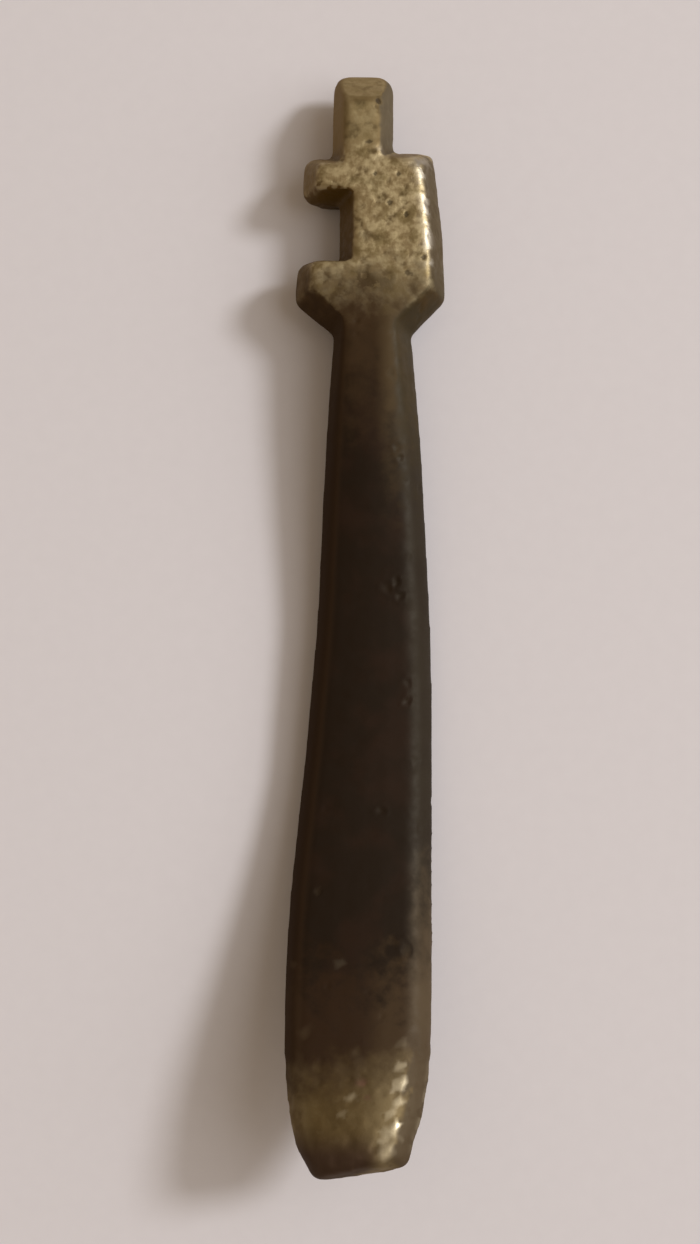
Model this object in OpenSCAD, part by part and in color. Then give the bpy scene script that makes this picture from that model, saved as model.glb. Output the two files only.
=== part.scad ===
// Cast metal key with a square peg, a C-shaped bit and a flat handle that ends in a raised blade.
// It lies face up on the table along Y, with the peg towards +Y and the blade towards -Y.
// Lengths along the key are measured from the shoulder, where the bit meets the shank,
// and sideways reaches are measured from the key's centre line. All sizes are in millimetres.

/* [Bit] */
// Thickness of the bit and of the peg
bit_t = 5; // [4:0.1:7]
// Length of the bit from the shoulder to its top edge
bit_len = 13.8; // [12.6:0.1:18]
// Reach of the bit's back edge at its heel
back_heel = 5.5; // [4.8:0.1:8]
// Reach of the bit's back edge at its top corner
back_top = 4.5; // [3.6:0.1:7]
// How far the back edge bows out between those two
back_bow = 0.2; // [0:0.05:0.6]
// Reach of the lugs' side at its heel
lug_heel = 5.5; // [4.8:0.1:8]
// Reach of the lugs' side at its top corner
lug_top = 5; // [4.4:0.1:7]
// How far the upper lug's top edge sits below the top of the bit
lug_drop = 0.5; // [0.2:0.05:1.2]
// How far the outer walls lean in between the parting line and each face
bit_draft = 1.2; // [0.4:0.05:1.5]
// Radius of the bit's outer corners, seen from above
bit_corner_r = 0.9; // [0.3:0.05:1.4]
// Rounding where a wall meets a face
edge_r = 0.3; // [0.1:0.05:0.5]

/* [Ward notch] */
// Width of the notch between the two lugs, at the parting line
notch_w = 4.5; // [3:0.1:5]
// Distance from the shoulder to the middle of the notch
notch_at = 7.6; // [7:0.1:8.2]
// Distance from the key's centre line to the floor of the notch, at the parting line
notch_floor = 2.35; // [1.6:0.05:2.8]
// How far the notch's two side walls lean back towards each face
notch_draft = 0.45; // [0.1:0.05:0.8]
// How far the floor of the notch leans back towards each face
floor_draft = 1.1; // [0.3:0.05:1.5]
// Radius of the notch's inner corners
notch_corner_r = 0.4; // [0.1:0.05:0.8]

/* [Peg] */
// Width of the peg
peg_w = 4.5; // [3.6:0.1:6]
// Length of the peg beyond the top of the bit
peg_len = 6; // [4:0.1:12]
// How far the peg sits to the left of the centre line
peg_shift = 0.7; // [0:0.05:1]
// How far the peg's sides lean in towards each face
peg_draft = 0.85; // [0.2:0.05:1.2]
// How far the peg's end leans in towards each face
peg_end_draft = 1.8; // [0.4:0.1:2.4]
// Radius of the peg's corners, seen from above
peg_corner_r = 1.2; // [0.3:0.05:1.5]

/* [Shoulder] */
// Width of the neck where it leaves the bit
neck_w = 5.6; // [4.8:0.1:7]
// How far the neck sits to the right of the centre line
neck_shift = 0.15; // [0:0.05:0.5]
// Length of the sloped shoulder on the back edge
shoulder_len = 2.7; // [1.8:0.1:3.2]
// Length of the sloped shoulder under the lower lug
lug_shoulder_len = 2.3; // [1.4:0.1:2.6]

/* [Shank] */
// Length of the shank from the shoulder to the grip
shank_len = 20; // [14:0.5:30]
// Distance from the shoulder to the end of the neck
neck_len = 8; // [3:0.5:10]
// Width at the end of the neck
neck_end_w = 6.7; // [5.4:0.1:8]
// Thickness at the end of the neck
neck_end_t = 3.8; // [3:0.1:5]
// How far the underside stands off the table at the end of the neck
neck_rise = 0.6; // [0:0.05:1]
// Width where the shank meets the grip
shank_w = 7.9; // [6.4:0.1:10]
// Thickness where the shank meets the grip
shank_t = 3.3; // [2.8:0.1:5]
// How far the shank has swung to the right where it meets the grip
shank_shift = 0.5; // [0:0.05:1]

/* [Grip] */
// Length of the grip from the shank to its widest place
grip_len = 26; // [20:0.5:40]
// Length of the grip that lies flat on the table
rest_len = 9; // [5:0.5:16]
// Width where the grip leaves the table
rest_w = 8.8; // [7.4:0.1:12]
// How far the grip sits to the right where it leaves the table
rest_shift = 0.35; // [-0.5:0.05:0.8]
// Width of the grip at its widest place
grip_w = 10; // [8:0.1:14]
// Thickness of the grip at its widest place
grip_t = 3.1; // [2.6:0.1:5]
// How far the grip sits to the left at its widest place
grip_shift = 0.2; // [-0.5:0.05:0.8]
// How far the ridge stands in from the right-hand edge
ridge_right = 1.15; // [0.7:0.05:1.6]
// How far the ridge stands in from the left-hand edge
ridge_left = 0.75; // [0.5:0.05:1.6]
// Rounding of the ridges along the handle
ridge_r = 0.7; // [0.2:0.05:1]
// How much higher the middle of the handle's face is than its ridges
crown = 0.15; // [0:0.05:0.4]

/* [Blade tip] */
// Length of the blade from the widest place to the middle of its end
blade_len = 12.2; // [9:0.1:20]
// Width of the blade at its end, before the corners are rounded
tip_w = 6.4; // [4.6:0.1:9]
// Thickness of the blade at its end
tip_t = 2.2; // [1.6:0.1:3]
// Height of the blade's underside over the table at its end
tip_lift = 7.4; // [0:0.1:8]
// Angle by which the end is cut off square
tip_skew = 9; // [-20:1:20]
// Rounding of the end
tip_r = 0.7; // [0.2:0.05:0.75]

/* [Hidden] */

// How fast the blade narrows and thins, and how fast the handle lifts off the table
narrow_power = 3.15;
thin_power = 2;
lift_power = 1.8;
// How far apart the handle's sections stand, and the points that round a corner
section_step = 1;
corner_points = 4;
edge_steps = 3;
// Radius of the bend in the bit's back edge
knee_r = 12;
// Places on the side, from the parting line up, and how blunt the parting line is
side_shares = [0, 0.15, 0.4];
parting_blunt = 0.12;
// How far each arm of the C reaches past its wall of the notch to its root on the web
arm_root = 0.1;
// How far a seam between two regions of the bit stays clear of a rounded corner
seam_gap = 0.05;

half_t = bit_t / 2;
peg_end = bit_len + peg_len;
neck_right = neck_shift + neck_w / 2;
neck_left = neck_shift - neck_w / 2;
peg_right = peg_w / 2 - peg_shift;
peg_left = -peg_w / 2 - peg_shift;
lug_top_y = bit_len - lug_drop;
notch_top_y = notch_at + notch_w / 2;
notch_low_y = notch_at - notch_w / 2;
grip_end = shank_len + grip_len;
rest_end = shank_len + rest_len;
handle_len = grip_end + blade_len;
lift_len = handle_len - rest_end;
// The end reaches out beyond the blade's length by its skew, or by its lower edge where the blade is steep.
tip_angle = atan(tip_lift * lift_power / lift_len);
lower_reach = tip_r * (norm([1, sin(tip_angle)]) - 1) + (tip_t / 2 - tip_r) * sin(tip_angle);
tip_reach = max(lower_reach, tip_w / 2 * tan(abs(tip_skew)));
// The key's own lengths run from the shoulder, and this puts the middle of the key at the origin.
middle_y = (peg_end - handle_len - tip_reach) / 2;

// Colours of the worn casting, bare at both ends and dark along the handle
bare_brass = [0.56, 0.49, 0.34];
brown_brass = [0.38, 0.31, 0.21];
dark_patina = [0.20, 0.16, 0.13];

// Curves

function unit(v) = v / norm(v);

function cross2(a, b) = a[0] * b[1] - a[1] * b[0];

// Slope at place k of a list of [distance, value], with the last one level
function slope(places, k) =
    k == 0 ? (places[1][1] - places[0][1]) / (places[1][0] - places[0][0])
    : k == len(places) - 1 ? 0
    : (places[k + 1][1] - places[k - 1][1]) / (places[k + 1][0] - places[k - 1][0]);

// Smooth curve through a list of [distance, value]
function smooth(places, d, k = 0) =
    k < len(places) - 2 && d > places[k + 1][0] ? smooth(places, d, k + 1)
    : let (
        span = places[k + 1][0] - places[k][0],
        t = (d - places[k][0]) / span,
        start = places[k][1],
        rise = places[k + 1][1] - start,
        leave = slope(places, k) * span,
        arrive = slope(places, k + 1) * span
    )
    start + leave * t + (3 * rise - 2 * leave - arrive) * t * t
        + (leave + arrive - 2 * rise) * t * t * t;

// Outlines

// Corner b of an outline with both its edges moved inwards
function moved_corner(a, b, c, inset_before, inset_after) =
    let (
        before = unit(b - a),
        after = unit(c - b),
        in_before = [-before[1], before[0]],
        in_after = [-after[1], after[0]],
        turn = cross2(in_before, in_after)
    )
    abs(turn) < 0.001
        ? b + in_before * inset_before
        : b + [
            inset_before * in_after[1] - inset_after * in_before[1],
            inset_after * in_before[0] - inset_before * in_after[0]
        ] / turn;

// Outline with edge i, from corner i to the next, moved inwards by insets[i]
function moved_outline(corners, insets) =
    let (n = len(corners))
    [for (i = [0 : n - 1])
        let (before = (i + n - 1) % n)
        moved_corner(corners[before], corners[i], corners[(i + 1) % n], insets[before], insets[i])];

// Arc that rounds corner b between its neighbours, with room for it on both edges
function corner_arc(a, b, c, radius, room, points) =
    let (
        u = unit(a - b),
        v = unit(c - b),
        half_angle = acos(max(-1, min(1, u * v))) / 2,
        straight = half_angle > 89.9,
        r = min(radius, room * tan(min(half_angle, 89.9))),
        centre = straight ? b : b + unit(u + v) * r / sin(half_angle),
        from = b + u * r / tan(min(half_angle, 89.9)) - centre,
        sweep = (180 - 2 * half_angle) * sign(cross2(b - a, c - b))
    )
    [for (k = [0 : points - 1])
        let (turn = sweep * k / (points - 1))
        straight
            ? b + (v - u) * 0.01 * (k - (points - 1) / 2)
            : centre + [
                from[0] * cos(turn) - from[1] * sin(turn),
                from[0] * sin(turn) + from[1] * cos(turn)
            ]];

// Outline with every corner rounded by its own radius, or kept sharp where the radius is 0.
// Two rounded corners share the edge between them, and a sharp one leaves its edge to the other.
function rounded(corners, radii, points) =
    let (n = len(corners))
    [for (i = [0 : n - 1])
        let (
            before = (i + n - 1) % n,
            after = (i + 1) % n,
            room = min(
                norm(corners[before] - corners[i]) * (radii[before] > 0 ? 0.45 : 0.95),
                norm(corners[after] - corners[i]) * (radii[after] > 0 ? 0.45 : 0.95)
            )
        )
        each radii[i] > 0
            ? corner_arc(corners[before], corners[i], corners[after], radii[i], room, points)
            : [corners[i]]];

// Faces of a skin over rings that have the same number of points, closed at both ends
function skin_faces(rings, points) = concat(
    [[for (i = [0 : points - 1]) i]],
    [[for (i = [points - 1 : -1 : 0]) (rings - 1) * points + i]],
    [for (k = [0 : rings - 2], i = [0 : points - 1], half = [0, 1])
        let (
            a = k * points + i,
            b = k * points + (i + 1) % points,
            c = b + points,
            d = a + points
        )
        half == 0 ? [a, d, c] : [a, c, b]]
);

module skin(rings) {
    polyhedron(
        points = [for (ring = rings) each ring],
        faces = skin_faces(len(rings), len(rings[0])),
        convexity = 8
    );
}

// Side of the casting, shared by the bit and the handle

// Share of the draft that is used up at a share of the rise from the parting line to a face.
// It is a slope with a soft start, so that the parting line is a blunt ridge.
function lean(share) =
    (sqrt(share * share + parting_blunt * parting_blunt) - parting_blunt)
        / (sqrt(1 + parting_blunt * parting_blunt) - parting_blunt);

// Steps of the side from the parting line to a face: [rise, share of the draft, extra inset]
function side_steps(half, round) = concat(
    [for (share = side_shares) [half * share, lean(share), 0]],
    [for (k = [0 : edge_steps])
        let (
            a = 90 * k / edge_steps,
            rise = half - round * (1 - sin(a))
        )
        [rise, lean(rise / half), round * (1 - cos(a))]]
);

// The same steps from the lower face, over the parting line, to the upper face
function whole_side(half, round) =
    let (up = side_steps(half, round))
    concat([for (k = [len(up) - 1 : -1 : 1]) [-up[k][0], up[k][1], up[k][2]]], up);

// Bit and peg, whose walls all lean in from the parting line

// The back edge bends a little at its knee, level with the notch
knee = [
    back_heel + (back_top - back_heel) * (notch_at - shoulder_len) / (bit_len - shoulder_len) + back_bow,
    notch_at
];

// Reach of the back edge at a distance from the shoulder
function back_side(y) =
    y < notch_at
        ? back_heel + (knee[0] - back_heel) * (y - shoulder_len) / (notch_at - shoulder_len)
        : knee[0] + (back_top - knee[0]) * (y - notch_at) / (bit_len - notch_at);

// Reach of the lugs' leaning side at a distance from the shoulder
function lug_side(y) =
    -lug_heel + (lug_heel - lug_top) * (y - lug_shoulder_len) / (lug_top_y - lug_shoulder_len);

// Distance from the shoulder at which corner b of the outline ends up on a face
function face_corner(a, b, c, draft_before, draft_after) =
    moved_corner(a, b, c, draft_before + edge_r, draft_after + edge_r)[1];

// Seams across the bit, each in a stretch where both its sides run straight from face to face
neck_seam = edge_r + seam_gap + max(
    0,
    -face_corner([neck_right, -1], [neck_right, 0], [back_heel, shoulder_len], ridge_right, bit_draft),
    -face_corner([-lug_heel, lug_shoulder_len], [neck_left, 0], [neck_left, -1], bit_draft, ridge_left)
);
heel_seam = bit_corner_r / 2 + seam_gap + max(
    face_corner([neck_right, 0], [back_heel, shoulder_len], knee, bit_draft, bit_draft),
    face_corner([-lug_top, lug_top_y], [-lug_heel, lug_shoulder_len], [neck_left, 0], bit_draft, bit_draft)
);
low_seam = notch_low_y + arm_root;
high_seam = notch_top_y - arm_root;
peg_seam = bit_len + edge_r + seam_gap;

// Outline of each region, whose corners are [place, radius, draft of the edge that follows].
// An edge that lies on a seam has no draft.
peg_corners = [
    [[peg_right, peg_seam], 0, peg_draft],
    [[peg_right, peg_end], peg_corner_r, peg_end_draft],
    [[peg_left, peg_end], peg_corner_r, peg_draft],
    [[peg_left, peg_seam], 0, 0]
];
upper_arm_corners = [
    [[back_side(high_seam), high_seam], 0, bit_draft],
    [[back_top, bit_len], bit_corner_r, bit_draft],
    [[peg_right, bit_len], edge_r, peg_draft],
    [[peg_right, peg_seam], 0, 0],
    [[peg_left, peg_seam], 0, peg_draft],
    [[peg_left, lug_top_y], edge_r, bit_draft],
    [[-lug_top, lug_top_y], bit_corner_r, bit_draft],
    [[lug_side(notch_top_y), notch_top_y], bit_corner_r, notch_draft],
    [[-notch_floor, notch_top_y], notch_corner_r, floor_draft],
    [[-notch_floor, high_seam], 0, 0]
];
web_corners = [
    [[back_side(low_seam), low_seam], 0, bit_draft],
    [knee, knee_r, bit_draft],
    [[back_side(high_seam), high_seam], 0, 0],
    [[-notch_floor, high_seam], 0, floor_draft],
    [[-notch_floor, low_seam], 0, 0]
];
lower_arm_corners = [
    [[back_side(heel_seam), heel_seam], 0, bit_draft],
    [[back_side(low_seam), low_seam], 0, 0],
    [[-notch_floor, low_seam], 0, floor_draft],
    [[-notch_floor, notch_low_y], notch_corner_r, notch_draft],
    [[lug_side(notch_low_y), notch_low_y], bit_corner_r, bit_draft],
    [[lug_side(heel_seam), heel_seam], 0, 0]
];
shoulder_corners = [
    [[neck_right, -neck_seam], 0, ridge_right],
    [[neck_right, 0], edge_r, bit_draft],
    [[back_heel, shoulder_len], bit_corner_r, bit_draft],
    [[back_side(heel_seam), heel_seam], 0, 0],
    [[lug_side(heel_seam), heel_seam], 0, bit_draft],
    [[-lug_heel, lug_shoulder_len], bit_corner_r, bit_draft],
    [[neck_left, 0], edge_r, ridge_left],
    [[neck_left, -neck_seam], 0, 0]
];

// Outline of a region at one step of its side
function casting_ring(corners, step) =
    let (
        places = [for (c = corners) c[0]],
        insets = [for (c = corners) c[2] * step[1] + (c[2] > 0 ? step[2] : 0)],
        radii = [for (c = corners) c[1] > 0 ? max(0.6 * c[1], c[1] - 0.3 * step[1]) : 0]
    )
    [for (p = rounded(moved_outline(places, insets), radii, corner_points)) [p[0], p[1], half_t + step[0]]];

module casting(corners) {
    skin([for (step = whole_side(half_t, edge_r)) casting_ring(corners, step)]);
}

// Handle, lofted through sections that stand across the key

handle_widths = [
    [neck_seam, neck_w], [neck_len, neck_end_w], [shank_len, shank_w], [rest_end, rest_w], [grip_end, grip_w]
];
handle_shifts = [
    [neck_seam, neck_shift], [shank_len, shank_shift], [rest_end, rest_shift], [grip_end, -grip_shift]
];
handle_depths = [[neck_seam, bit_t], [neck_len, neck_end_t], [shank_len, shank_t], [grip_end, grip_t]];
handle_rises = [[neck_seam, 0], [neck_len, neck_rise], [shank_len, 0], [rest_end, 0]];

// How far along the blade a section stands, from 0 at the grip to 1 at the end
function along_blade(d) = max(0, d - grip_end) / blade_len;

// How much a section near the end is drawn in on every side
function end_draw(d) =
    let (into = max(0, d - (handle_len - tip_r)))
    tip_r - sqrt(max(0, tip_r * tip_r - into * into));

function handle_w(d) =
    smooth(handle_widths, min(d, grip_end))
        - (grip_w - tip_w) * pow(along_blade(d), narrow_power) - 2 * end_draw(d);

function handle_t(d) =
    smooth(handle_depths, min(d, grip_end))
        - (grip_t - tip_t) * pow(along_blade(d), thin_power) - 2 * end_draw(d);

function handle_shift(d) = smooth(handle_shifts, min(d, grip_end));

// How far along the lifting part a section stands, from 0 on the table to 1 at the end
function along_lift(d) = max(0, d - rest_end) / lift_len;

// Height of the underside over the table
function handle_rise(d) =
    d < rest_end ? max(0, smooth(handle_rises, d)) : tip_lift * pow(along_lift(d), lift_power);

// Angle at which the handle climbs
function handle_angle(d) = atan(tip_lift * lift_power / lift_len * pow(along_lift(d), lift_power - 1));

// One section: a flat hexagon with blunt ridges along both faces and the parting line at its sides.
// Its places are [sideways, up from its middle], and it stands square to the handle's climb.
function handle_ring(d) =
    let (
        left = handle_shift(d) - handle_w(d) / 2,
        right = handle_shift(d) + handle_w(d) / 2,
        half = handle_t(d) / 2,
        middle = handle_rise(d) + end_draw(d) + half,
        swell = min(1, (d - neck_seam) / (neck_len - neck_seam)),
        side = whole_side(half, min(edge_r + (ridge_r - edge_r) * swell, 0.5 * half)),
        rights = [for (step = side) [right - ridge_right * step[1] - step[2], step[0]]],
        lefts = [for (step = side) [left + ridge_left * step[1] + step[2], step[0]]],
        top_right = rights[len(side) - 1],
        top_left = lefts[len(side) - 1],
        face = [for (share = [0.25 : 0.25 : 0.75])
            top_right + (top_left - top_right) * share + [0, crown * swell * 4 * share * (1 - share)]],
        skew = tan(tip_skew) * pow(along_blade(d), thin_power),
        climb = handle_angle(d)
    )
    [for (p = concat(rights, face, [for (k = [len(side) - 1 : -1 : 0]) lefts[k]]))
        [p[0], -d + skew * p[0] + p[1] * sin(climb), middle + p[1] * cos(climb)]];

// Distances of the sections from the shoulder
function sections_between(from, to) =
    let (steps = ceil((to - from) / section_step))
    [for (k = [0 : steps]) from + (to - from) * k / steps];

module handle(from, to) {
    skin([for (d = sections_between(from, to)) handle_ring(d)]);
}

// Middle of the key at the origin, with the key lying on the table
module placed() {
    translate([0, -middle_y, 0]) children();
}

// Square peg beyond the bit
module peg() {
    color(bare_brass) placed() casting(peg_corners);
}

// Upper arm of the C, from the lug to the back edge, with the root of the peg
module upper_arm() {
    color(bare_brass) placed() casting(upper_arm_corners);
}

// Web behind the notch, which joins the two arms
module bit_web() {
    color(bare_brass) placed() casting(web_corners);
}

// Lower arm of the C, from the lug to the back edge
module lower_arm() {
    color(bare_brass) placed() casting(lower_arm_corners);
}

// Sloped end of the bit, with the neck running up into it
module shoulder() {
    color(brown_brass) placed() casting(shoulder_corners);
}

// Slim part of the handle
module shank() {
    color(dark_patina) placed() handle(neck_seam, shank_len);
}

// Part of the handle that is held, lifting off the table
module grip() {
    color(dark_patina) placed() handle(shank_len, grip_end);
}

// Raised end of the handle, narrowed and thinned to a blunt skewed edge
module blade_tip() {
    round_steps = [for (a = [0 : 22.5 : 78]) handle_len - tip_r + tip_r * sin(a)];
    color(bare_brass) placed() skin([
        for (d = concat(sections_between(grip_end, handle_len - tip_r - 0.2), round_steps)) handle_ring(d)
    ]);
}

peg();
upper_arm();
bit_web();
lower_arm();
shoulder();
shank();
grip();
blade_tip();
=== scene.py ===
"""Looks of a worn cast brass key: one skin over its solids, with cast and hammered relief and a patina.

The key lies along Y with its peg towards +Y. Names that end in _MM or _mm, the bands along and across
the key, the marks and the points of the skin are in millimetres. What is handed to Blender is in metres.
"""
import math

import bmesh
import bpy
import numpy as np
from mathutils import Matrix, Vector, kdtree, noise


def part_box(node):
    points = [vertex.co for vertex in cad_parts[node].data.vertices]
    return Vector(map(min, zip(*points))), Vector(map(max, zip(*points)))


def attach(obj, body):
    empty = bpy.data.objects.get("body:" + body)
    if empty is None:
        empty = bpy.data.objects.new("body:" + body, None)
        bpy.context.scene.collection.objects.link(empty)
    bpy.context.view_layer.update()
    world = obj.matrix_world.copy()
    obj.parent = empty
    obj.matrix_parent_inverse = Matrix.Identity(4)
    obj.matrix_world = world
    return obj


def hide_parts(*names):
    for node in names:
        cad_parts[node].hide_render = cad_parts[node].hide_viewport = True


MM = 0.001

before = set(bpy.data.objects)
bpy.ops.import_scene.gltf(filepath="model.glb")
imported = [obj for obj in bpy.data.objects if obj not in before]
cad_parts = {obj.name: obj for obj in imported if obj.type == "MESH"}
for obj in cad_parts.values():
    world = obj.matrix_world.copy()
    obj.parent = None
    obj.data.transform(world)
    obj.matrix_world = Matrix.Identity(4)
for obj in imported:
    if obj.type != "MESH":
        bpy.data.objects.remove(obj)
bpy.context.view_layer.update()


# Places along the key, from the solids

PEG_END_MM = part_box("peg")[1].y / MM
PEG_FOOT_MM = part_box("peg")[0].y / MM
NOTCH_TOP_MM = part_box("upper_arm")[0].y / MM
NOTCH_LOW_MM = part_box("lower_arm")[1].y / MM
NECK_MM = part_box("shank")[1].y / MM
WIDEST_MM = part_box("blade_tip")[1].y / MM
TIP_END_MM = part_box("blade_tip")[0].y / MM
HALF_BIT_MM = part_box("bit_web")[1].z / MM / 2

# Bands along the key, each from where it has no effect to where it has its full effect
HEAD_BAND = (NECK_MM - 1, NECK_MM + 2)
PEG_BAND = (PEG_FOOT_MM - 0.2, PEG_FOOT_MM + 0.8)
PEG_END_BAND = (PEG_END_MM - 3.4, PEG_END_MM - 2.4)
STRUCK_BAND = (WIDEST_MM - 2.5, WIDEST_MM - 6.5)
NICKED_BAND = (NECK_MM, NECK_MM - 6)
POLISHED_FROM = (NECK_MM + 4.0, NECK_MM + 5.2)
POLISHED_TO = (PEG_FOOT_MM - 0.3, PEG_FOOT_MM - 1.2)
NOOK_FROM = (NOTCH_LOW_MM - 0.7, NOTCH_LOW_MM - 0.3)
NOOK_TO = (NOTCH_TOP_MM + 0.7, NOTCH_TOP_MM + 0.3)
BIT_CORNER_BAND = (PEG_FOOT_MM - 1.4, PEG_FOOT_MM - 0.4)
NEAR_END_BAND = (TIP_END_MM + 2.2, TIP_END_MM + 0.6)

# Bands across the key, likewise, counted from its middle to the right
BACK_RIGHT = (2.0, 3.8)
BIT_CORNER_RIGHT = (3.9, 4.5)
HANDLE_RIGHT = (0.5, 4)
END_CORNER_RIGHT = (2.2, 3.4)
NOOK_LEFT = (-0.6, -1.2)
PEG_RIGHT = (2.9, 2.4)
# Where across the bit the painted highlight of its top rim lies
RIM_HIGHLIGHT_RIGHT = (1.7, 2.6)

# Bands of facing, by the normal's part to the right or up, likewise
EDGE_TO_RIGHT = (0.05, 0.4)
EDGE_UP = (0.2, 0.6)
NICKED_TO_RIGHT = (0.1, 0.5)
TOP_UP = (0.2, 0.8)
WALL_UP = (0.8, 0.5)

# Bands of colour along the key, likewise
BARE_COLOUR = (NECK_MM + 0.8, NECK_MM + 7.2)
PEG_COLOUR = (PEG_FOOT_MM - 1.2, PEG_FOOT_MM - 0.1)
# Where along the bit its top rim gets a painted highlight
RIM_HIGHLIGHT_BAND = (PEG_FOOT_MM - 2.4, PEG_FOOT_MM - 1.5)
NECK_COLOUR = (NECK_MM - 10.0, NECK_MM + 2.0)
NECK_RIGHT_COLOUR = (NECK_MM - 14.5, NECK_MM - 1.0)
NEAR_TIP_COLOUR = (WIDEST_MM + 3.0, WIDEST_MM - 3.5)
NEAR_TIP_RIGHT_COLOUR = (WIDEST_MM + 9.5, WIDEST_MM)
STRUCK_COLOUR = (WIDEST_MM - 4.3, WIDEST_MM - 9.5)
END_COLOUR = (TIP_END_MM + 3.7, TIP_END_MM + 1.5)
# Where along the tip its right ridge gets painted glints
PAINTED_GLINT_BAND = (TIP_END_MM + 1.5, TIP_END_MM + 3.0)


# Skin

VOXEL_MM = 0.15
SEED = 11

# How many times the points are averaged with their neighbours, for plain, worn and polished edges
CRISP_PASSES = 5
WORN_PASSES = 16
POLISHED_PASSES = 36

# A ridge stands out from the skin averaged so often, and is full at this height. A hollow that is
# less deep than this share of it isn't counted
RIDGE_PASSES = 14
RIDGE_HEIGHT_MM = 0.07
HOLLOW_FROM = 0.15

# How wear spreads from an edge: [passes, gain]
WORN_SPREAD = (5, 1.6)
ROUNDED_SPREAD = (24, 2.6)

# How worn the peg's end is, from 0 to 1
PEG_END_WEAR = 0.8

# How far the casting departs from the plain solids, always inside their box
PEG_SLOPE_MM = 2.7
BACK_FULLER_MM = 0.1
HANDLE_FULLER_MM = 0.18
BIT_CORNER_MM = 0.28
END_ASIDE_MM = 0.35
END_CORNER_MM = 0.3

# How much of its way forward the bit's corner also goes to the right
BIT_CORNER_ASIDE = 0.35

# Unevenness: [size of the bumps, place in the noise, octaves, height, more at the head, more at the tip]
UNEVENNESS = (
    (5.0, 1.0, 1, 0.03, 0.0, 0.0),
    (1.6, 4.0, 1, 0.012, 0.0, 0.025),
    (0.6, 8.0, 2, 0.004, 0.010, 0.004),
)

# Noise that wear follows: [size of the bumps, place in the noise, octaves]
WORN_NOISE = (1.3, 31.0, 1)
RIDGE_NOISE = (0.9, 12.0, 1)
SHALLOW_NOISE = (0.9, 21.0, 2)

# From where the last of these noises makes a shallow place, and where it is full
SHALLOW_BAND = (0.16, 0.5)

# How far shallow places and ridges sink and the painted glint spots rise
SHALLOW_DEPTH_MM = 0.025
RIDGE_WEAR_MM = 0.03
PAINTED_GLINT_RISE_MM = 0.03

# How much of the unevenness is worn flat, and how much a faint pit shows
POLISHED_FLAT = 0.5
PEG_END_FLAT = 0.7
FAINT_SHARE = 0.2

# Marks that stand out, on the upper side: [across, along, radius, depth]
CASTING_PITS = (
    (0.57, 36.37, 0.36, 0.11), (-0.26, 33.32, 0.28, 0.11), (0.28, 30.77, 0.30, 0.07),
    (1.88, 30.79, 0.30, 0.07), (1.32, 28.68, 0.32, 0.11), (2.56, 27.87, 0.29, 0.14),
    (3.83, 24.76, 0.27, 0.11), (2.69, 23.40, 0.32, 0.09), (-0.94, 19.86, 0.28, 0.11),
)
RIDGE_NICKS = (
    (1.65, 16.13, 0.50, 0.05), (2.23, 10.82, 0.42, 0.07), (2.46, 10.17, 0.36, 0.07),
    (2.30, 1.07, 0.40, 0.08), (2.46, 0.32, 0.36, 0.08), (3.10, -5.77, 0.34, 0.05),
    (3.22, -7.11, 0.34, 0.08), (3.35, -24.35, 0.60, 0.05), (1.29, -14.73, 0.35, 0.05),
    (-3.11, -20.34, 0.35, 0.05), (1.60, 0.78, 0.50, 0.05),
)

# Marks at random places: [count, least and greatest radius, least and greatest depth]
FAINT_PITS = (170, (0.16, 0.34), (0.02, 0.05))
HAMMER_BLOWS = (60, (0.45, 1.2), (0.02, 0.06))
FAINT_NICKS = (22, (0.2, 0.5), (0.02, 0.05))

# Spots of colour: [across, along, radius, strength]
STAINS = (
    (-0.35, 22.9, 1.4, 0.9), (-2.3, 22.5, 0.6, 0.75), (-1.3, 22.3, 0.5, 0.6), (0.9, 33.1, 0.7, 0.8),
    (-1.6, 20.6, 0.9, 0.7), (0.8, 21.2, 0.8, 0.3), (-0.4, 26.1, 0.5, 0.5), (0.6, 36.5, 0.5, 0.7),
)
# Painted glints of light, as pale spots, mostly on the hammered tip
PAINTED_GLINTS = (
    (2.78, -31.7, 0.34, 0.4), (2.85, -32.95, 0.42, 0.65), (2.55, -34.1, 0.36, 0.45),
    (2.15, -34.75, 0.34, 0.4), (2.55, -35.55, 0.36, 1.0), (1.9, -36.05, 0.46, 0.55),
    (1.95, -36.9, 0.6, 0.3), (-0.48, -33.7, 0.30, 0.22), (-1.13, -34.8, 0.28, 0.15),
    (2.85, -30.25, 0.35, 0.06), (-1.43, -25.1, 0.34, 0.04),
)
ROSY_SPOTS = ((0.3, -32.8, 0.42, 0.9), (0.6, -33.7, 0.28, 0.5))
PAINTED_GLINT_STRETCH = 1.8
PAINTED_GLINT_TURN = 35.0

# A pressed mark: its reach and its rim in radii, how ragged it is, and its waves to a radius
MARK_REACH = 1.9
RIM_PLACE = 1.05
RIM_WIDTH = 0.3
MARK_RAGGED = 0.75
MARK_WAVES = 1.1

# How much of a mark's depth is raised as its rim
BLOW_RIM = 0.08
NICK_RIM = 0.3

# A spot of colour: its reach in radii, how ragged it is and how hard its border is
SPOT_REACH = 1.6
SPOT_RAGGED = 0.7
SPOT_HARD = 1.5

# The highest place at a mark is looked for in these steps, at most so far aside
STEP_MM = 0.1
ASIDE_MM = 0.2


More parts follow.
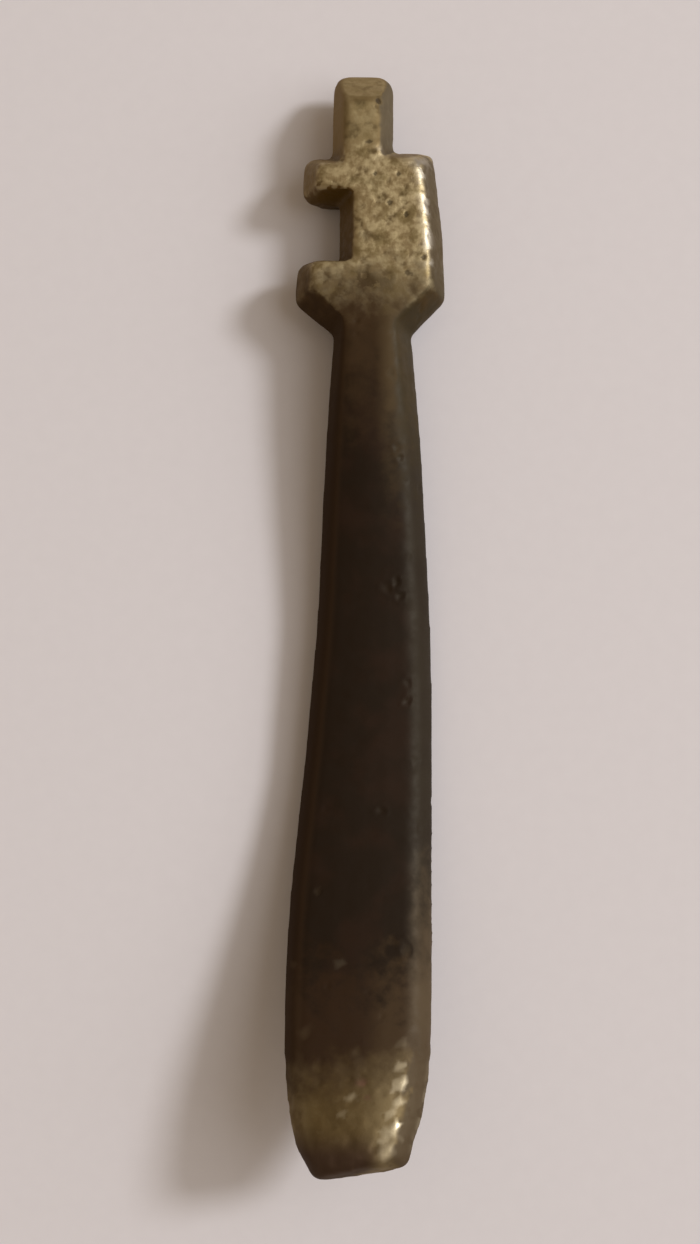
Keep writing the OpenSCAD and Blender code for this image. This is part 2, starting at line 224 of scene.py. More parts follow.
def one_skin():
    """A single closed mesh over all the solids, since the casting has no seams."""
    solids = bmesh.new()
    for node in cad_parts.values():
        solids.from_mesh(node.data)
    mesh = bpy.data.meshes.new("solids")
    solids.to_mesh(mesh)
    solids.free()
    source = bpy.data.objects.new("solids", mesh)
    bpy.context.collection.objects.link(source)
    remesh = source.modifiers.new("one_skin", "REMESH")
    remesh.mode = "VOXEL"
    remesh.voxel_size = VOXEL_MM * MM
    remesh.use_smooth_shade = True
    depsgraph = bpy.context.evaluated_depsgraph_get()
    skin = bpy.data.meshes.new_from_object(source.evaluated_get(depsgraph))
    skin.name = "key_casting"
    bpy.data.objects.remove(source)
    return skin


class Skin:
    """The skin's points and normals as arrays, in millimetres."""

    def __init__(self, mesh):
        self.mesh = mesh
        count = len(mesh.vertices)
        places = np.empty(count * 3, np.float32)
        mesh.vertices.foreach_get("co", places)
        self.points = places.reshape(-1, 3).astype(float) / MM
        ends = np.empty(len(mesh.edges) * 2, np.int32)
        mesh.edges.foreach_get("vertices", ends)
        self.ends = ends.reshape(-1, 2)
        self.degree = np.bincount(self.ends.ravel(), minlength=count).astype(float)

    def averaged(self, values):
        """Each vertex's mean over its neighbours."""
        a, b = self.ends.T
        count = len(self.degree)
        columns = [
            np.bincount(a, values[b, k], count) + np.bincount(b, values[a, k], count)
            for k in range(values.shape[1])
        ]
        return np.stack(columns, 1) / self.degree[:, None]

    def smoothed(self, values, passes):
        for _ in range(passes):
            values = 0.5 * (values + self.averaged(values))
        return values

    def spread(self, mask, passes, gain):
        """The mask smoothed over the skin and made stronger."""
        return np.clip(gain * self.smoothed(mask[:, None], passes)[:, 0], 0, 1)

    def store(self):
        """Writes the points back and reads the normals that they give."""
        self.mesh.vertices.foreach_set("co", (self.points * MM).astype(np.float32).ravel())
        self.mesh.update()
        normals = np.empty(len(self.points) * 3, np.float32)
        self.mesh.vertices.foreach_get("normal", normals)
        self.normals = normals.reshape(-1, 3).astype(float)

    def move_out(self, heights):
        self.points += self.normals * heights[:, None]

    def paint(self, name, values):
        """Keeps a mask from 0 to 1 on the mesh, for the material."""
        mask = self.mesh.attributes.new(name, "FLOAT", "POINT")
        mask.data.foreach_set("value", np.clip(values, 0, 1).astype(np.float32))

    def tree(self):
        tree = kdtree.KDTree(len(self.points))
        for index, point in enumerate(self.points):
            tree.insert(point, index)
        tree.balance()
        return tree


def ease(low, high, values):
    t = np.clip((values - low) / (high - low), 0, 1)
    return t * t * (3 - 2 * t)


def noise_at(points, size_mm, place=0.0, octaves=1):
    """Smooth noise from about -1 to 1, whose bumps are size_mm apart."""
    shift = Vector((place, 2.3 * place, -1.7 * place))
    if octaves == 1:
        return np.array([noise.noise(Vector(p) / size_mm + shift) for p in points])
    return np.array([
        noise.fractal(Vector(p) / size_mm + shift, 1.0, 2.0, octaves) for p in points
    ])


def on_top(tree, marks, height_mm=12.0):
    """The skin's highest place at each mark, found by stepping down."""
    places = []
    for across, along, _, _ in marks:
        above = [
            tree.find(Vector((across, along, step * STEP_MM)))[0]
            for step in range(round(height_mm / STEP_MM), 0, -1)
        ]
        near = [p for p in above if math.hypot(p.x - across, p.y - along) < ASIDE_MM]
        places.append(max(near, key=lambda p: p.z))
    return places


def given(tree, marks):
    """Places, radii and depths of marks that stand out."""
    return on_top(tree, marks), [mark[2] for mark in marks], [mark[3] for mark in marks]


def scattered(skin, rng, weight, count, radii, depths):
    """Places, radii and depths of marks at random vertices, each vertex as likely as its weight."""
    picked = rng.choice(len(skin.points), count, replace=False, p=weight / weight.sum())
    return skin.points[picked], rng.uniform(*radii, count), rng.uniform(*depths, count)


def press(tree, heights, mask, marks, rim=0.0):
    """Presses an uneven bowl at each mark, with a share of its depth raised around it."""
    for spot, radius, depth in zip(*marks):
        for place, index, distance in tree.find_range(Vector(spot), radius * MARK_REACH):
            uneven = 1 + MARK_RAGGED * noise.noise(place * (MARK_WAVES / radius))
            share = distance / radius * uneven
            if share < 1:
                bowl = (1 - share * share) ** 2
                heights[index] -= depth * bowl
                mask[index] = max(mask[index], bowl)
            if rim:
                heights[index] += depth * rim * math.exp(-((share - RIM_PLACE) / RIM_WIDTH) ** 2)


def spotted(skin, tree, marks, stretch=1.0, turn=0.0):
    """A mask of ragged spots, stretched along a turn that is given in degrees from +X towards +Y."""
    mask = np.zeros(len(skin.points))
    way = Vector((math.cos(math.radians(turn)), math.sin(math.radians(turn)), 0))
    for centre, (_, _, radius, strength) in zip(on_top(tree, marks), marks):
        for place, index, _ in tree.find_range(centre, radius * stretch * SPOT_REACH):
            away = place - centre
            on_way = away.dot(way)
            distance = math.hypot(on_way / stretch, (away - way * on_way).length) / radius
            share = 1 - distance * (1 + SPOT_RAGGED * noise.noise(place * (1.0 / radius)))
            mask[index] = max(mask[index], strength * min(1, SPOT_HARD * share))
    return mask


def shape(skin):
    """Small departures of the casting from the plain solids."""
    x, y, z = skin.points.T
    head = ease(*HEAD_BAND, y)

    # The bit's back edge is fuller above and below the parting line, and its top corner is squarer
    rise = np.abs(z - HALF_BIT_MM) / HALF_BIT_MM
    x += BACK_FULLER_MM * head * ease(0.1, 1, rise) * ease(*BACK_RIGHT, x)
    bit_corner = ease(*BIT_CORNER_RIGHT, x) * ease(*BIT_CORNER_BAND, y)
    x += BIT_CORNER_MM * BIT_CORNER_ASIDE * bit_corner
    y += BIT_CORNER_MM * bit_corner

    # The handle's right side is fuller, and its end leans to the right and has a tighter corner there
    x += HANDLE_FULLER_MM * (1 - head) * ease(*HANDLE_RIGHT, x)
    near_end = ease(*NEAR_END_BAND, y)
    corner = near_end * ease(*END_CORNER_RIGHT, x)
    x += END_ASIDE_MM * near_end
    y -= END_CORNER_MM * corner

    # The peg's end is planed back to a flatter slope, square to its two planes
    length = math.hypot(HALF_BIT_MM, PEG_SLOPE_MM)
    over = ((y - PEG_END_MM) * HALF_BIT_MM + np.abs(z - HALF_BIT_MM) * PEG_SLOPE_MM) / length
    over = np.maximum(0, over) * (y > PEG_FOOT_MM)
    y -= over * HALF_BIT_MM / length
    z -= over * PEG_SLOPE_MM / length * np.sign(z - HALF_BIT_MM)


def share_across(skin, slice_mm=0.25):
    """How far each vertex stands from the left edge to the right one, from 0 to 1, slice by slice."""
    x, y, _ = skin.points.T
    slices = np.floor((y - y.min()) / slice_mm).astype(int)
    left = np.full(slices.max() + 1, np.inf)
    right = -left
    np.minimum.at(left, slices, x)
    np.maximum.at(right, slices, x)
    return (x - left[slices]) / (right - left)[slices]


def in_nook(skin):
    """The walls inside the notch, where grime stays and painted shade darkens them."""
    x, y, _ = skin.points.T
    walls = ease(*WALL_UP, np.abs(skin.normals[:, 2])) * ease(*NOOK_LEFT, x)
    return walls * (ease(*NOOK_FROM, y) * ease(*NOOK_TO, y))


def wear_edges(skin, ridge, tip, peg_end):
    """Rounds the right-hand edges of the upper face, most so at both ends, and tells where they are
    polished, where the material also paints a highlight.
    """
    y = skin.points[:, 1]
    out, _, up = skin.normals.T
    edge = np.clip(ridge, 0, 1) * ease(*EDGE_TO_RIGHT, out) * ease(*EDGE_UP, up)
    worn = edge * (0.75 + 0.6 * noise_at(skin.points, *WORN_NOISE))
    worn = np.maximum(skin.spread(worn, *WORN_SPREAD), PEG_END_WEAR * peg_end)
    back = ease(*POLISHED_FROM, y) * ease(*POLISHED_TO, y)
    rounded = edge * np.maximum(np.maximum(back, ease(*PEG_BAND, y)), tip)
    rounded = skin.spread(rounded, *ROUNDED_SPREAD)
    soft = skin.smoothed(skin.points, WORN_PASSES)
    softer = skin.smoothed(soft, POLISHED_PASSES - WORN_PASSES)
    skin.points += (soft - skin.points) * worn[:, None]
    skin.points += (softer - skin.points) * rounded[:, None]
    skin.store()
    return rounded * back


def unevenness(skin, ridge, head, tip, shallow):
    """Heights of the casting's bumps, with its shallow places sunk and its ridges worn."""
    heights = np.zeros(len(skin.points))
    for size, place, octaves, height, at_head, at_tip in UNEVENNESS:
        heights += (height + at_head * head + at_tip * tip) * noise_at(skin.points, size, place, octaves)
    heights -= SHALLOW_DEPTH_MM * shallow
    wear = np.clip(ridge, 0, 1.2)
    return heights - RIDGE_WEAR_MM * wear * np.clip(noise_at(skin.points, *RIDGE_NOISE), -0.3, 1)


def relief(skin):
    """Gives the skin its worn edges, casting pits, hammer marks and nicks, and paints their masks."""
    rng = np.random.default_rng(SEED)
    skin.points = skin.smoothed(skin.points, CRISP_PASSES)
    shape(skin)
    skin.points = skin.smoothed(skin.points, CRISP_PASSES)
    skin.store()
    blurred = skin.smoothed(skin.points, RIDGE_PASSES)
    ridge = ((skin.points - blurred) * skin.normals).sum(1) / RIDGE_HEIGHT_MM
    y = skin.points[:, 1]
    head, tip, peg_end = (ease(*band, y) for band in (HEAD_BAND, STRUCK_BAND, PEG_END_BAND))
    nook = in_nook(skin)
    to_right = ease(*NICKED_TO_RIGHT, skin.normals[:, 0])
    polished_highlight = wear_edges(skin, ridge, tip, peg_end)
    shallow = ease(*SHALLOW_BAND, noise_at(skin.points, *SHALLOW_NOISE)) * head
    heights = unevenness(skin, ridge, head, tip, shallow)
    heights *= 1 - np.maximum(POLISHED_FLAT * polished_highlight, PEG_END_FLAT * peg_end)

    # Marks at random are most likely on top of the head and the tip, and on the ridges of the handle
    top = ease(*TOP_UP, skin.normals[:, 2])
    on_head = 0.01 + head * (0.3 + 0.7 * top) + 0.05 * tip
    on_tip = tip * (0.2 + top)
    on_ridges = ease(*NICKED_BAND, skin.points[:, 1]) * np.clip(ridge, 0, 1) * (0.1 + to_right) + 1e-9

    tree = skin.tree()
    pits, faint, dents = (np.zeros(len(skin.points)) for _ in range(3))
    press(tree, heights, pits, given(tree, CASTING_PITS))
    press(tree, heights, faint, scattered(skin, rng, on_head, *FAINT_PITS))
    press(tree, heights, dents, scattered(skin, rng, on_tip, *HAMMER_BLOWS), BLOW_RIM)
    press(tree, heights, dents, given(tree, RIDGE_NICKS), NICK_RIM)
    press(tree, heights, dents, scattered(skin, rng, on_ridges, *FAINT_NICKS), NICK_RIM)
    # Painted glints of light, as pale spots that also rise a little
    painted_glint = spotted(skin, tree, PAINTED_GLINTS, PAINTED_GLINT_STRETCH, PAINTED_GLINT_TURN)
    stain = spotted(skin, tree, STAINS)
    rosy = spotted(skin, tree, ROSY_SPOTS)
    heights += PAINTED_GLINT_RISE_MM * painted_glint

    skin.move_out(heights)
    skin.points[:, 2] = np.maximum(skin.points[:, 2], 0)
    skin.store()
    masks = {
        "worn_ridge": ridge, "hollow": -ridge - HOLLOW_FROM, "pit": np.maximum(pits, FAINT_SHARE * faint),
        "shallow": shallow, "dent": dents, "nook": nook, "polished_highlight": polished_highlight, "painted_glint": painted_glint,
        "stain": stain, "rosy": rosy, "across": share_across(skin),
    }
    for name, mask in masks.items():
        skin.paint(name, mask)


# Materials

class Graph:
    """Adds nodes to a material in short calls. A socket given as a value is linked, anything else is set."""

    def __init__(self, material):
        material.use_nodes = True
        self.tree = material.node_tree
        self.tree.nodes.clear()

    def node(self, kind, inputs, **settings):
        made = self.tree.nodes.new("ShaderNode" + kind)
        for name, value in settings.items():
            setattr(made, name, value)
        for name, value in inputs.items():
            if isinstance(value, bpy.types.NodeSocket):
                self.tree.links.new(value, made.inputs[name])
            else:
                made.inputs[name].default_value = value
        return made

    def math(self, operation, a, b=0.0, clamp=False):
        return self.node("Math", {0: a, 1: b}, operation=operation, use_clamp=clamp).outputs[0]

    def plus(self, a, b):
        return self.math("ADD", a, b)

    def times(self, first, *others):
        for other in others:
            first = self.math("MULTIPLY", first, other)
        return first

    def greater(self, a, b):
        return self.math("MAXIMUM", a, b)

    def less(self, a, b):
        """One value less another, kept from 0 to 1."""
        return self.math("SUBTRACT", a, b, True)

    def span(self, value, low, high, to_low=0.0, to_high=1.0):
        """Eases from to_low to to_high while value goes from low to high."""
        return self.node("MapRange", {
            "Value": value, "From Min": low, "From Max": high, "To Min": to_low, "To Max": to_high,
        }, interpolation_type="SMOOTHSTEP").outputs["Result"]

    def colour(self, share, first, second):
        mix = self.node("Mix", {0: share}, data_type="RGBA")
        for index, value in ((6, first), (7, second)):
            if isinstance(value, bpy.types.NodeSocket):
                self.tree.links.new(value, mix.inputs[index])
            else:
                mix.inputs[index].default_value = (*value, 1)
        return mix.outputs[2]

    def layers(self, first, *others):
        """The first colour with the others laid over it, each given as its mask and its colour."""
        for mask, colour in others:
            first = self.colour(mask, first, colour)
        return first

    def blend(self, share, first, second):
        mix = self.node("Mix", {0: share, 2: first, 3: second}, data_type="FLOAT")
        return mix.outputs[0]

    def noise(self, place, per_unit, detail=2.0, rough=0.5):
        return self.node("TexNoise", {
            "Vector": place, "Scale": per_unit, "Detail": detail, "Roughness": rough,
        }).outputs[0]

    def mask(self, name):
        return self.node("Attribute", {}, attribute_name=name).outputs["Fac"]


# Worn, polished brass on the bit's right edge, made paler so that it also stands for a painted highlight
POLISHED_HIGHLIGHT_BRASS = (0.415, 0.378, 0.317)
PALE_BRASS = (0.52, 0.43, 0.255)
# A painted highlight along the bit's top rim
RIM_HIGHLIGHT_BRASS = (0.72, 0.62, 0.42)
TAN_BRASS = (0.37, 0.285, 0.155)
OLIVE_BRASS = (0.25, 0.19, 0.09)
# Brass greyed by a painted reflection of the pale floor on walls that face right, partly patina too; the
# next one is the same on the peg
GREY_REFLECTION_BRASS = (0.10, 0.074, 0.042)
PEG_GREY_REFLECTION = (0.125, 0.10, 0.066)
BROWN_BRASS = (0.075, 0.048, 0.02)
# Browner brass for walls; on the walls that face away from the lamps it also stands for painted shade
WALL_BROWN = (0.18, 0.12, 0.05)
# Dark brown for walls that face the handle, away from the lamps: partly patina, partly painted shade
WALL_PATINA_AND_SHADE = (0.10, 0.053, 0.014)
# The peg's browner wall brass, partly patina and partly painted shade on its walls away from the lamps
PEG_WALL_PATINA_AND_SHADE = (0.225, 0.155, 0.07)
PIT_BROWN = (0.035, 0.022, 0.01)
# Grime in the notch, darkened further as painted shade
GRIME_AND_SHADE = (0.08, 0.041, 0.002)
NECK_PATINA = (0.043, 0.023, 0.009)
NECK_OLIVE = (0.078, 0.052, 0.025)
TIP_PATINA = (0.028, 0.0135, 0.006)
TIP_BROWN = (0.052, 0.031, 0.015)
DARK_PATINA = (0.0125, 0.0062, 0.0028)
# Patina painted lighter on the left-facing side, away from the lamps: painted fill light
LEFT_PATINA_FILL_LIGHT = (0.032, 0.0165, 0.0075)
# The same painted fill light on the left-facing side near the tip
LEFT_TIP_FILL_LIGHT = (0.044, 0.024, 0.0115)
RED_PATINA = (0.021, 0.009, 0.0045)
# Patina rubbed lighter on the right-facing side, which the lamps light: partly wear, partly painted light
RUBBED_AND_LIT_PATINA = (0.023, 0.016, 0.009)
RUBBED_AND_LIT_NECK = (0.036, 0.025, 0.010)
RUBBED_AND_LIT_TIP = (0.08, 0.055, 0.030)
TIP_SHADE = (0.13, 0.087, 0.035)
TIP_OLIVE = (0.137, 0.095, 0.043)
TIP_PALE = (0.23, 0.175, 0.092)
END_BROWN = (0.063, 0.037, 0.023)
# Painted glints of light on the hammered tip
PAINTED_GLINT_BRASS = (0.62, 0.54, 0.38)
ROSY_BROWN = (0.18, 0.098, 0.064)

# How ragged the bands of colour end, and how much the hammered one slants towards the right
RAGGED_MM = 6.0
TIP_RAGGED = 0.6
BEVEL_RAGGED = 0.07
TIP_SLANT = -0.15

# How metallic the finishes are, and how much less so where they are covered
METALLIC = 0.92
TIP_METAL = 0.75
TIP_SIDE_METAL = 0.2
LEE_COVERED = 0.75
PEG_COVERED = 0.3

# Roughness, as [least, most] where it varies
SATIN_ROUGH = (0.48, 0.62)
SANDY_ROUGH = (0.40, 0.58)
LEFT_ROUGH = 0.88
STRUCK_ROUGH = 0.62
BRIGHT_ROUGH = 0.28
POLISHED_ROUGH = 0.4
PEG_ROUGH = 0.7

# Height of the finest relief, as shares of the bump's distance
SAND_HEIGHT = 0.4
PATCH_HEIGHT = 0.25
PATINA_HEIGHT = 0.06
BARE_HEIGHT = 0.5
STRUCK_HEIGHT = 0.25
POLISHED_HEIGHT = 0.2
BUMP_STRENGTH = 0.8
BUMP_MM = 0.07

SPECULAR = 0.16
SPECULAR_TINT = (1.0, 0.93, 0.80, 1)


class Surface:
    """What the key's colours depend on, as sockets: place and facing, painted masks, noise and bands."""

    def __init__(self, g):
        coordinates = g.node("TexCoord", {}).outputs["Object"]
        place = g.node("VectorMath", {0: coordinates, "Scale": 1 / MM}, operation="SCALE").outputs[0]
        self.to_side, self.along, _ = g.node("SeparateXYZ", {0: place}).outputs
        facing = g.node("SeparateXYZ", {0: g.node("NewGeometry", {}).outputs["Normal"]})
        self.to_right, self.to_peg, self.up = facing.outputs
        self.ridge = g.mask("worn_ridge")
        self.hollow = g.mask("hollow")
        self.pit = g.mask("pit")
        self.shallow = g.mask("shallow")
        self.dent = g.mask("dent")
        self.nook = g.mask("nook")
        # The next mask is the polished right edge, which also carries a painted highlight
        self.polished_highlight = g.mask("polished_highlight")
        # The next mask holds the painted glints of light
        self.painted_glint = g.mask("painted_glint")
        self.stain = g.mask("stain")
        self.rosy = g.mask("rosy")
        self.across = g.mask("across")

        # Noise from coarse to fine
        self.broad = g.noise(place, 0.28, 3.0, 0.55)
        self.patches = g.noise(place, 0.85, 3.0, 0.55)
        self.grain = g.noise(place, 1.9, 2.5, 0.5)
        self.sand = g.noise(place, 5.5, 3.0, 0.6)

        # Where along the key the metal is bare, brown and dark, each with a ragged end
        self.ragged = g.times(g.math("SUBTRACT", self.patches, 0.5), RAGGED_MM)
        waved = g.plus(self.along, self.ragged)
        twice_waved = g.plus(waved, self.ragged)
        self.bare = g.span(waved, *BARE_COLOUR)
        self.on_peg = g.times(g.span(self.along, *PEG_COLOUR), g.span(self.to_side, *PEG_RIGHT))
        self.neck = g.span(twice_waved, *NECK_COLOUR)
        self.neck_right = g.span(twice_waved, *NECK_RIGHT_COLOUR)
        self.near_tip = g.span(twice_waved, *NEAR_TIP_COLOUR)
        self.near_tip_right = g.span(twice_waved, *NEAR_TIP_RIGHT_COLOUR)
        slanted = g.plus(self.along, g.times(self.to_side, TIP_SLANT))
        self.tip = g.span(g.plus(slanted, g.times(self.ragged, TIP_RAGGED)), *STRUCK_COLOUR)

        # The sides of the key, by place and by the way that they face
        self.right_third = g.span(self.across, 0.5, 0.72)
        self.left_side = g.span(self.to_right, -0.15, -0.5)
        # Walls that face away from the lamps, browner with patina and darkened as painted shade
        self.lee_shade = g.times(g.span(self.up, 0.9, 0.5), g.span(self.to_right, 0.35, 0.0))
        self.right_bevel = g.span(g.plus(self.to_right, g.times(self.ragged, BEVEL_RAGGED)), 0.2, 0.45)


def bare_brass(g, at):
    """Tan and pale grains with olive and brown stains, browner on the walls. Walls away from the lamps are
    darkened with patina and painted shade, walls facing right are greyed by a painted reflection, the notch
    holds grime and painted shade, and the top rim carries a painted highlight.
    """
    pale_grains = g.span(at.grain, 0.34, 0.66)
    olive_clouds = g.span(at.patches, 0.47, 0.66, 0.0, 0.85)
    peg_ridges = g.times(at.on_peg, g.span(at.ridge, 0.05, 0.5, 0.0, 0.6))
    shallow_grains = g.times(at.shallow, g.span(at.grain, 0.6, 0.4, 0.15, 0.5))
    stained_grains = g.times(at.stain, g.span(at.grain, 0.4, 0.54, 0.25, 0.95))
    # A painted highlight along the bit's top rim
    rim_highlight = g.times(g.span(at.along, *RIM_HIGHLIGHT_BAND), g.span(at.to_side, *RIM_HIGHLIGHT_RIGHT))
    rim_highlight = g.times(rim_highlight, g.span(at.up, 0.6, 0.9, 0.0, 0.75))
    # Walls that face right: partly patina, partly a painted reflection of the pale floor
    right_walls_reflection = g.span(at.to_right, 0.3, 0.65, 0.0, 0.9)
    # Walls that face the handle, away from the lamps: partly patina, partly painted shade
    walls_facing_handle_shade = g.span(at.to_peg, -0.25, -0.5, 0.0, 0.9)
    deep_pits = g.span(at.pit, 0.05, 0.6, 0.0, 0.74)
    return g.layers(
        TAN_BRASS,
        (pale_grains, PALE_BRASS),
        (olive_clouds, OLIVE_BRASS),
        (g.times(at.on_peg, 0.6), OLIVE_BRASS),
        (peg_ridges, WALL_BROWN),
        (shallow_grains, BROWN_BRASS),
        (stained_grains, BROWN_BRASS),
        (rim_highlight, RIM_HIGHLIGHT_BRASS),
        (right_walls_reflection, g.colour(at.on_peg, GREY_REFLECTION_BRASS, PEG_GREY_REFLECTION)),
        # Walls away from the lamps: patina and painted shade
        (at.lee_shade, g.colour(at.on_peg, WALL_BROWN, PEG_WALL_PATINA_AND_SHADE)),
        (walls_facing_handle_shade, WALL_PATINA_AND_SHADE),
        (g.times(at.hollow, 0.6), PIT_BROWN),
        (deep_pits, PIT_BROWN),
        # Grime and painted shade in the notch
        (g.times(at.nook, 0.9), GRIME_AND_SHADE),
    )


def patina(g, at):
    """Brown towards both ends, brown-black with reddish clouds between, rubbed and painted lighter on the
    right, the side the lamps light, and painted lighter on the left-facing side as painted fill light.
    """
    red_clouds = g.span(at.broad, 0.45, 0.7, 0.0, 0.7)
    # Lighter on the right-facing side, which the lamps light: partly rubbed wear, partly painted light
    rubbed_and_lit = g.times(g.span(at.to_right, 0.08, 0.5), g.span(at.broad, 0.3, 0.6, 0.6, 1.0))
    rubbed_and_lit = g.greater(rubbed_and_lit, g.times(at.dent, 0.4))
    rubbed_and_lit_colour = g.layers(
        RUBBED_AND_LIT_PATINA,
        (at.neck_right, RUBBED_AND_LIT_NECK),
        (at.near_tip_right, RUBBED_AND_LIT_TIP),
    )
    return g.layers(
        DARK_PATINA,
        (red_clouds, RED_PATINA),
        # The left-facing side, away from the lamps, painted lighter: painted fill light
        (at.left_side, LEFT_PATINA_FILL_LIGHT),
        (at.neck, NECK_PATINA),
        (g.times(at.neck_right, at.right_third), NECK_OLIVE),
        (at.near_tip, g.colour(at.right_third, TIP_PATINA, TIP_BROWN)),
        # Near the tip too, painted fill light on the left-facing side
        (g.times(at.near_tip, at.left_side), LEFT_TIP_FILL_LIGHT),
        (rubbed_and_lit, rubbed_and_lit_colour),
    )


def hammered_tip(g, at):
    """Brown at the left and the end, olive in the middle and pale at the right, with the left rim painted
    lighter as painted fill light and painted glints along the right ridge.
    """
    middle = g.span(at.across, 0.15, 0.6)
    # The left rim, in the lamps' shade, painted lighter: painted fill light
    left_rim_fill_light = g.span(at.across, 0.22, 0.05, 0.0, 0.6)
    right_half = g.span(at.across, 0.5, 0.75)
    right_rim = g.span(at.across, 0.78, 0.9, 0.0, 0.7)
    shady_clouds = g.span(at.patches, 0.5, 0.68, 0.0, 0.55)
    pale_grains = g.span(at.grain, 0.5, 0.7, 0.0, 0.15)
    at_end = g.times(g.span(at.along, *END_COLOUR), g.span(at.across, 0.85, 0.55))
    # Painted glints of light along the right ridge near the end
    painted_ridge_glint = g.times(g.span(at.ridge, 0.02, 0.5), g.span(at.to_right, 0.0, 0.22))
    painted_ridge_glint = g.times(painted_ridge_glint, g.span(at.patches, 0.40, 0.56, 0.0, 0.15))
    painted_ridge_glint = g.times(painted_ridge_glint, g.span(at.along, *PAINTED_GLINT_BAND))
    return g.layers(
        TIP_SHADE,
        (middle, TIP_OLIVE),
        (left_rim_fill_light, TIP_PALE),
        (right_half, TIP_PALE),
        (right_rim, TIP_OLIVE),
        (shady_clouds, TIP_SHADE),
        (pale_grains, TIP_PALE),
        (at.right_bevel, RUBBED_AND_LIT_TIP),
        (at.rosy, ROSY_BROWN),
        (at_end, END_BROWN),
        (painted_ridge_glint, PAINTED_GLINT_BRASS),
    )


def metal_of(g, at, metal):
    """How metallic the surface is. The patina and the notch's grime with its painted shade aren't metal."""
    metallic = g.blend(metal, 0.0, METALLIC)
    covered = g.greater(g.times(at.lee_shade, LEE_COVERED), g.greater(at.pit, at.nook))
    metallic = g.less(metallic, g.times(metallic, covered))
    return g.less(metallic, g.times(at.on_peg, PEG_COVERED))


def roughness_of(g, at, metal, bright, polish_and_highlight):
    """Satin under the patina, sandy where the metal is bare, and shinier where it is rubbed, on the polished
    edge with its painted highlight and at the painted glints.
    """
    satin = g.blend(g.span(at.patches, 0.3, 0.7), *SATIN_ROUGH)
    satin = g.blend(at.left_side, satin, LEFT_ROUGH)
    sandy = g.blend(g.span(at.grain, 0.3, 0.7), *SANDY_ROUGH)
    rough = g.blend(metal, satin, sandy)
    rough = g.blend(at.tip, rough, STRUCK_ROUGH)
    rough = g.blend(g.greater(g.times(bright, 0.5), at.painted_glint), rough, BRIGHT_ROUGH)
    rough = g.blend(polish_and_highlight, rough, POLISHED_ROUGH)
    return g.blend(at.on_peg, rough, PEG_ROUGH)


def fine_relief(g, at, polish_and_highlight):
    """Grain and sand too fine for the skin, as a bumped normal."""
    fine = g.plus(at.grain, g.times(at.sand, SAND_HEIGHT))
    share = g.blend(at.tip, g.blend(at.bare, PATINA_HEIGHT, BARE_HEIGHT), STRUCK_HEIGHT)
    height = g.times(fine, g.blend(polish_and_highlight, share, POLISHED_HEIGHT))
    height = g.plus(height, g.times(at.patches, PATCH_HEIGHT))
    bump = g.node("Bump", {"Height": height, "Strength": BUMP_STRENGTH, "Distance": BUMP_MM * MM})
    return bump.outputs[0]


def worn_brass():
    """Cast brass, bare at the head, hammered at the tip, and under a brown-black patina between them."""
    material = bpy.data.materials.new("worn_cast_brass")
    g = Graph(material)
    at = Surface(g)
    struck = g.times(at.tip, g.span(at.broad, 0.3, 0.5, 0.75, 1.0))
    bright = g.times(g.span(at.ridge, 0.2, 0.8), g.span(at.grain, 0.4, 0.56))
    bright = g.times(bright, at.bare, g.span(at.up, 0.2, 0.5))
    bright = g.times(bright, g.math("SUBTRACT", 1.0, at.on_peg))
    # The polished right edge of the bit, paler as a painted highlight
    polish_and_highlight = g.times(at.polished_highlight, g.span(at.patches, 0.58, 0.44, 0.15, 1.0))
    base = g.layers(
        patina(g, at),
        (at.bare, bare_brass(g, at)),
        (struck, hammered_tip(g, at)),
        (g.times(bright, 0.6), PALE_BRASS),
        # Painted highlight on the polished edge
        (polish_and_highlight, POLISHED_HIGHLIGHT_BRASS),
        # Painted glints of light on the tip
        (at.painted_glint, PAINTED_GLINT_BRASS),
    )
    tip_metal = g.blend(g.greater(at.right_bevel, at.left_side), TIP_METAL, TIP_SIDE_METAL)
    metal = g.greater(at.bare, g.times(at.tip, tip_metal))
    shader = g.node("BsdfPrincipled", {
        "Base Color": base,
        "Metallic": metal_of(g, at, metal),
        "Roughness": roughness_of(g, at, metal, bright, polish_and_highlight),
        "Normal": fine_relief(g, at, polish_and_highlight),
        "Specular IOR Level": SPECULAR,
        "Specular Tint": SPECULAR_TINT,
    })
    g.node("OutputMaterial", {"Surface": shader.outputs[0]})
    return material


FLOOR_LOW = (0.728, 0.703, 0.744)
FLOOR_HIGH = (0.758, 0.733, 0.774)
FIBRES_PER_M = 900.0


def plain_floor():
    material = bpy.data.materials.new("pale_paper_floor")
    g = Graph(material)
    place = g.node("TexCoord", {}).outputs["Object"]
    fibre = g.noise(place, FIBRES_PER_M, 3.0)
    colour = g.colour(fibre, FLOOR_LOW, FLOOR_HIGH)
    shader = g.node("BsdfPrincipled", {
        "Base Color": colour, "Roughness": 0.9, "Specular IOR Level": 0.1,
    })
    g.node("OutputMaterial", {"Surface": shader.outputs[0]})
    return material


# Key

casting = one_skin()
skin = Skin(casting)
relief(skin)
for face in casting.polygons:
    face.use_smooth = True
key = bpy.data.objects.new("key_casting", casting)
bpy.context.collection.objects.link(key)
casting.materials.clear()
casting.materials.append(worn_brass())
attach(key, "root")
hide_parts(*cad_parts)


# Floor, light and camera, with sizes in metres

FLOOR_SIZE = 3.0
ROOM_COLOUR = (1.0, 0.79, 0.56, 1)
ROOM_STRENGTH = 0.335

# Where the lamps stand, in degrees: the turn is from +X towards +Y and the lift is from the table
LAMP_TURN, LAMP_LIFT = 19, 37.5
WINDOW_TURN, WINDOW_LIFT = 8, 42
LAMP_DISTANCE = 0.5
LAMP_ANGLE = 12.4
LAMP_STRENGTH = 1.54
WINDOW_SIZE = 0.56
WINDOW_POWER = 1.055

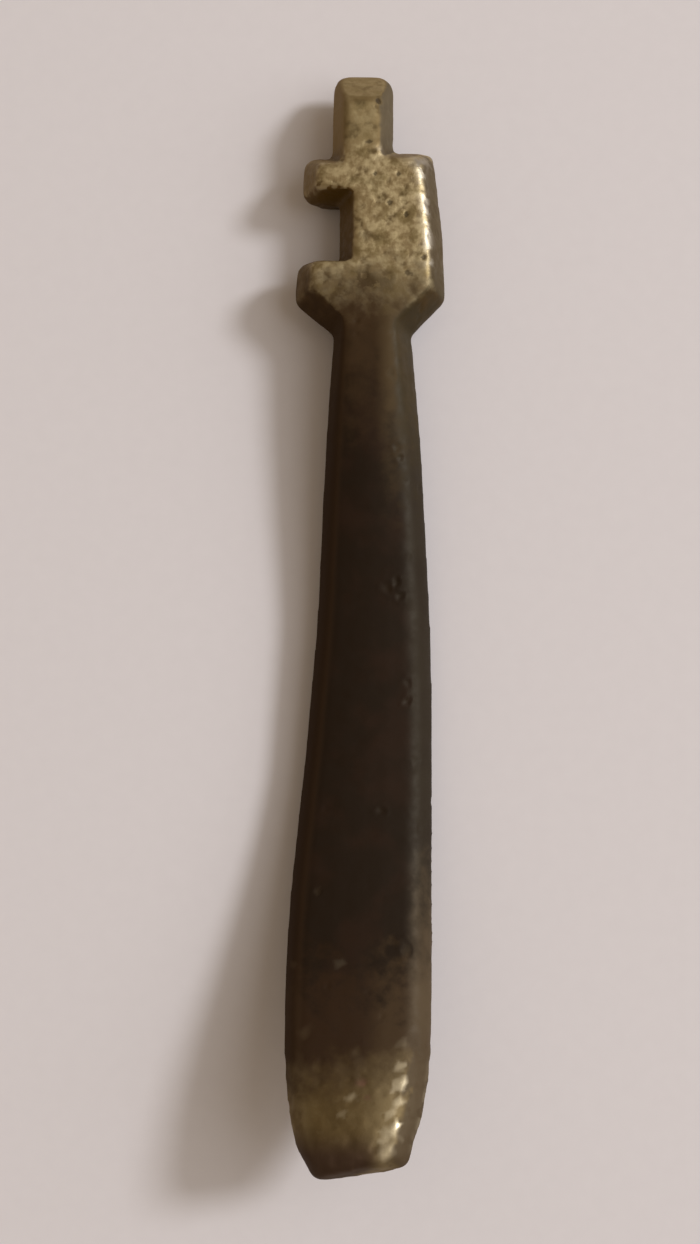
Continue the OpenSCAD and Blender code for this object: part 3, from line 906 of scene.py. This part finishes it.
# The photograph was taken from above, a little behind the key's middle and leaning towards its peg
CAMERA_PLACE = Vector((-1.1, -17.42, 134.7)) * MM
CAMERA_LEAN = math.radians(6.88)
CAMERA_ROLL = math.radians(0.89)
FOCAL_MM = 54.0
SENSOR_MM = 36.0
CLIP_START = 0.01

bpy.ops.mesh.primitive_plane_add(size=FLOOR_SIZE)
floor = bpy.context.active_object
floor.name = "floor"
floor.data.materials.append(plain_floor())

scene = bpy.context.scene
scene.view_settings.view_transform = "Standard"
world = bpy.data.worlds.new("soft_room")
scene.world = world
world.use_nodes = True
background = world.node_tree.nodes["Background"]
background.inputs["Color"].default_value = ROOM_COLOUR
background.inputs["Strength"].default_value = ROOM_STRENGTH


def face_key(data, turn, lift, distance):
    """Puts a lamp so that it faces the key from a turn and a lift, in degrees."""
    turn, lift = math.radians(turn), math.radians(lift)
    way = Vector((
        math.cos(turn) * math.cos(lift),
        math.sin(turn) * math.cos(lift),
        math.sin(lift),
    ))
    made = bpy.data.objects.new(data.name, data)
    scene.collection.objects.link(made)
    made.location = way * distance
    made.rotation_euler = way.to_track_quat("Z", "Y").to_euler()


far_lamp = bpy.data.lights.new("room_lamp", "SUN")
far_lamp.angle = math.radians(LAMP_ANGLE)
far_lamp.energy = LAMP_STRENGTH
face_key(far_lamp, LAMP_TURN, LAMP_LIFT, LAMP_DISTANCE)
window = bpy.data.lights.new("window", "AREA")
window.shape = "DISK"
window.size = WINDOW_SIZE
window.energy = WINDOW_POWER
face_key(window, WINDOW_TURN, WINDOW_LIFT, LAMP_DISTANCE)

camera_data = bpy.data.cameras.new("camera")
camera_data.sensor_fit = "AUTO"
camera_data.sensor_width = SENSOR_MM
camera_data.lens = FOCAL_MM
camera_data.clip_start = CLIP_START
camera = bpy.data.objects.new("camera", camera_data)
scene.collection.objects.link(camera)
camera.matrix_world = (
    Matrix.Translation(CAMERA_PLACE)
    @ Matrix.Rotation(CAMERA_LEAN, 4, "X")
    @ Matrix.Rotation(CAMERA_ROLL, 4, "Z")
)
scene.camera = camera
